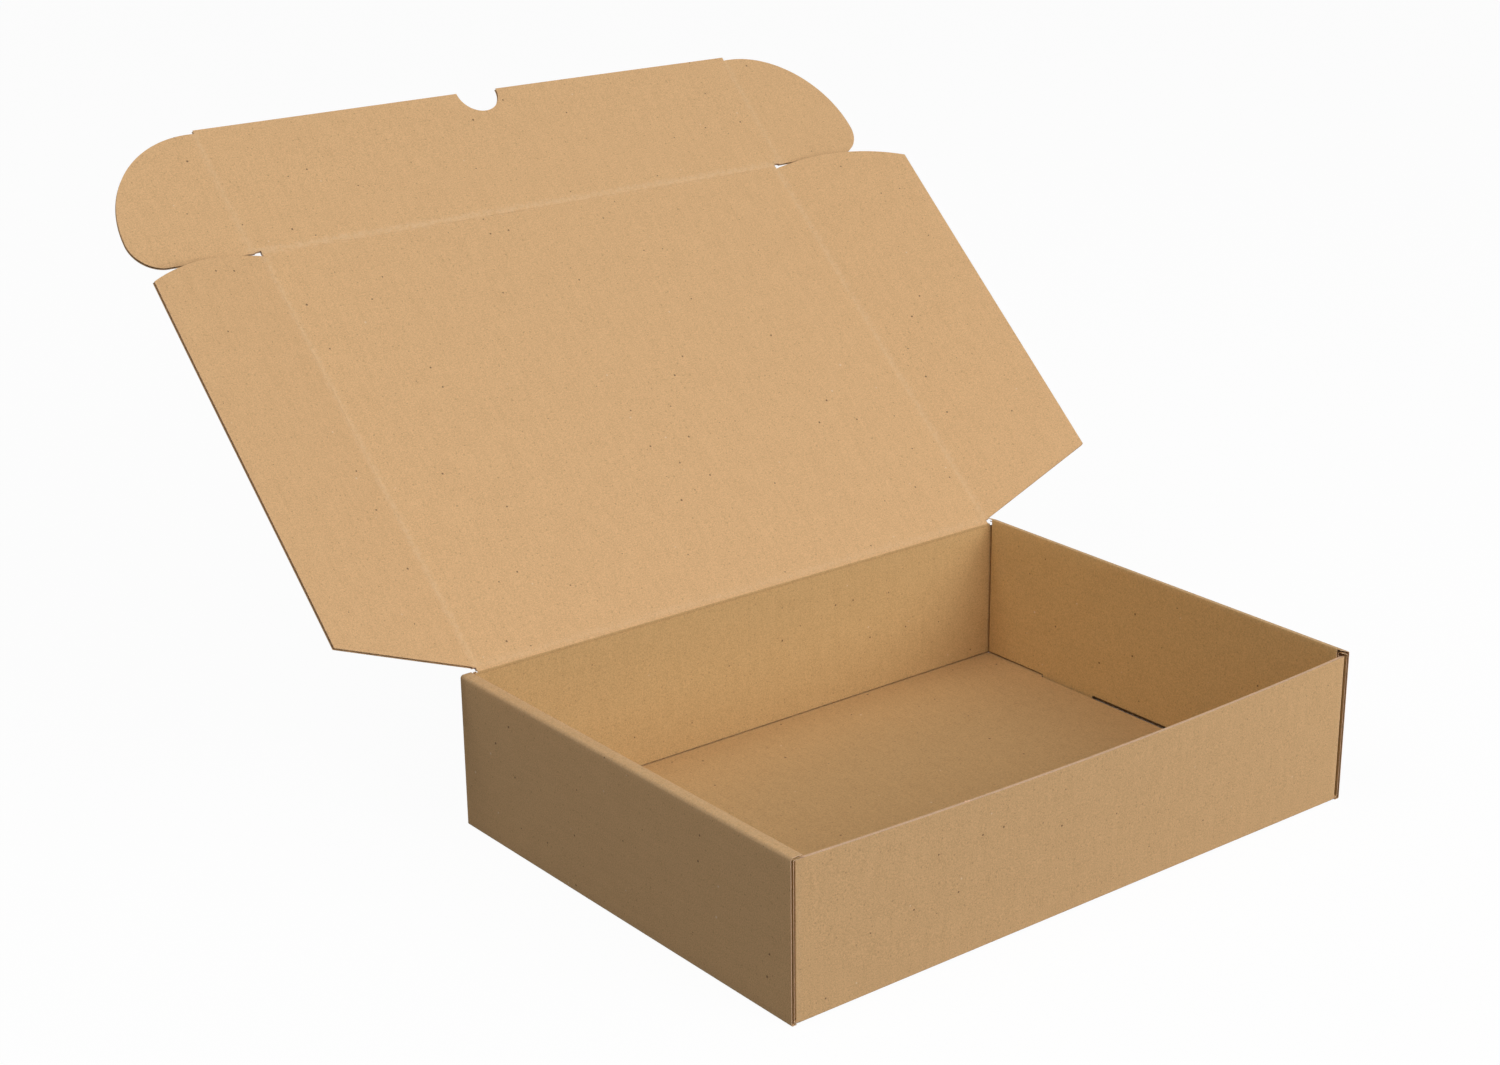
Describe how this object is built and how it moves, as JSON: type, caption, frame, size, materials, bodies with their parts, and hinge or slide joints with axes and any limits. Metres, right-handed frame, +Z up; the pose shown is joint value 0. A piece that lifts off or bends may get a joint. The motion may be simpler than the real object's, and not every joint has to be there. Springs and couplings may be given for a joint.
{
  "type": "cardboard mailer box",
  "caption": "Shallow cardboard mailer box folded from one sheet, standing open, with a hinged lid, side flaps and a tuck flap with ears.",
  "frame": {"origin": "middle of the tray's underside", "axes": "+X to the right along the front, +Y to the back, where the lid is hinged, +Z up"},
  "size_m": [0.4398, 0.4515, 0.2778],
  "materials": {
    "kraft_board": "matt uncoated brown kraft liner"
  },
  "bodies": {
    "tray": {"tray": "kraft_board"},
    "lid": {"lid_panel": "kraft_board"},
    "side_flap_left": {"side_flap_left": "kraft_board"},
    "side_flap_right": {"side_flap_right": "kraft_board"},
    "tuck_flap": {"tuck_flap": "kraft_board"},
    "tuck_ear_left": {"tuck_ear_left": "kraft_board"},
    "tuck_ear_right": {"tuck_ear_right": "kraft_board"}
  },
  "joints": [
    {"name": "lid_hinge", "type": "hinge", "parent": "tray", "child": "lid", "pos_m": [0, 0.1131, 0.0722], "axis": [1, 0, 0], "range_deg": [-42.2, 110]},
    {"name": "side_flap_left_crease", "type": "hinge", "parent": "lid", "child": "side_flap_left", "pos_m": [-0.1522, 0.1131, 0.0722], "axis": [0, 0.7408, 0.6717], "range_deg": [-16.6, 73.4]},
    {"name": "side_flap_right_crease", "type": "hinge", "parent": "lid", "child": "side_flap_right", "pos_m": [0.1522, 0.1131, 0.0722], "axis": [0, -0.7408, -0.6717], "range_deg": [-16.6, 73.4]},
    {"name": "tuck_crease", "type": "hinge", "parent": "lid", "child": "tuck_flap", "pos_m": [0, 0.2843, 0.22743], "axis": [1, 0, 0], "range_deg": [-2.4, 87.6]},
    {"name": "ear_left_crease", "type": "hinge", "parent": "tuck_flap", "child": "tuck_ear_left", "pos_m": [-0.15695, 0.2843, 0.22743], "axis": [0, 0.712, 0.7022], "range_deg": [0, 90]},
    {"name": "ear_right_crease", "type": "hinge", "parent": "tuck_flap", "child": "tuck_ear_right", "pos_m": [0.15695, 0.2843, 0.22743], "axis": [0, -0.712, -0.7022], "range_deg": [0, 90]}
  ]
}
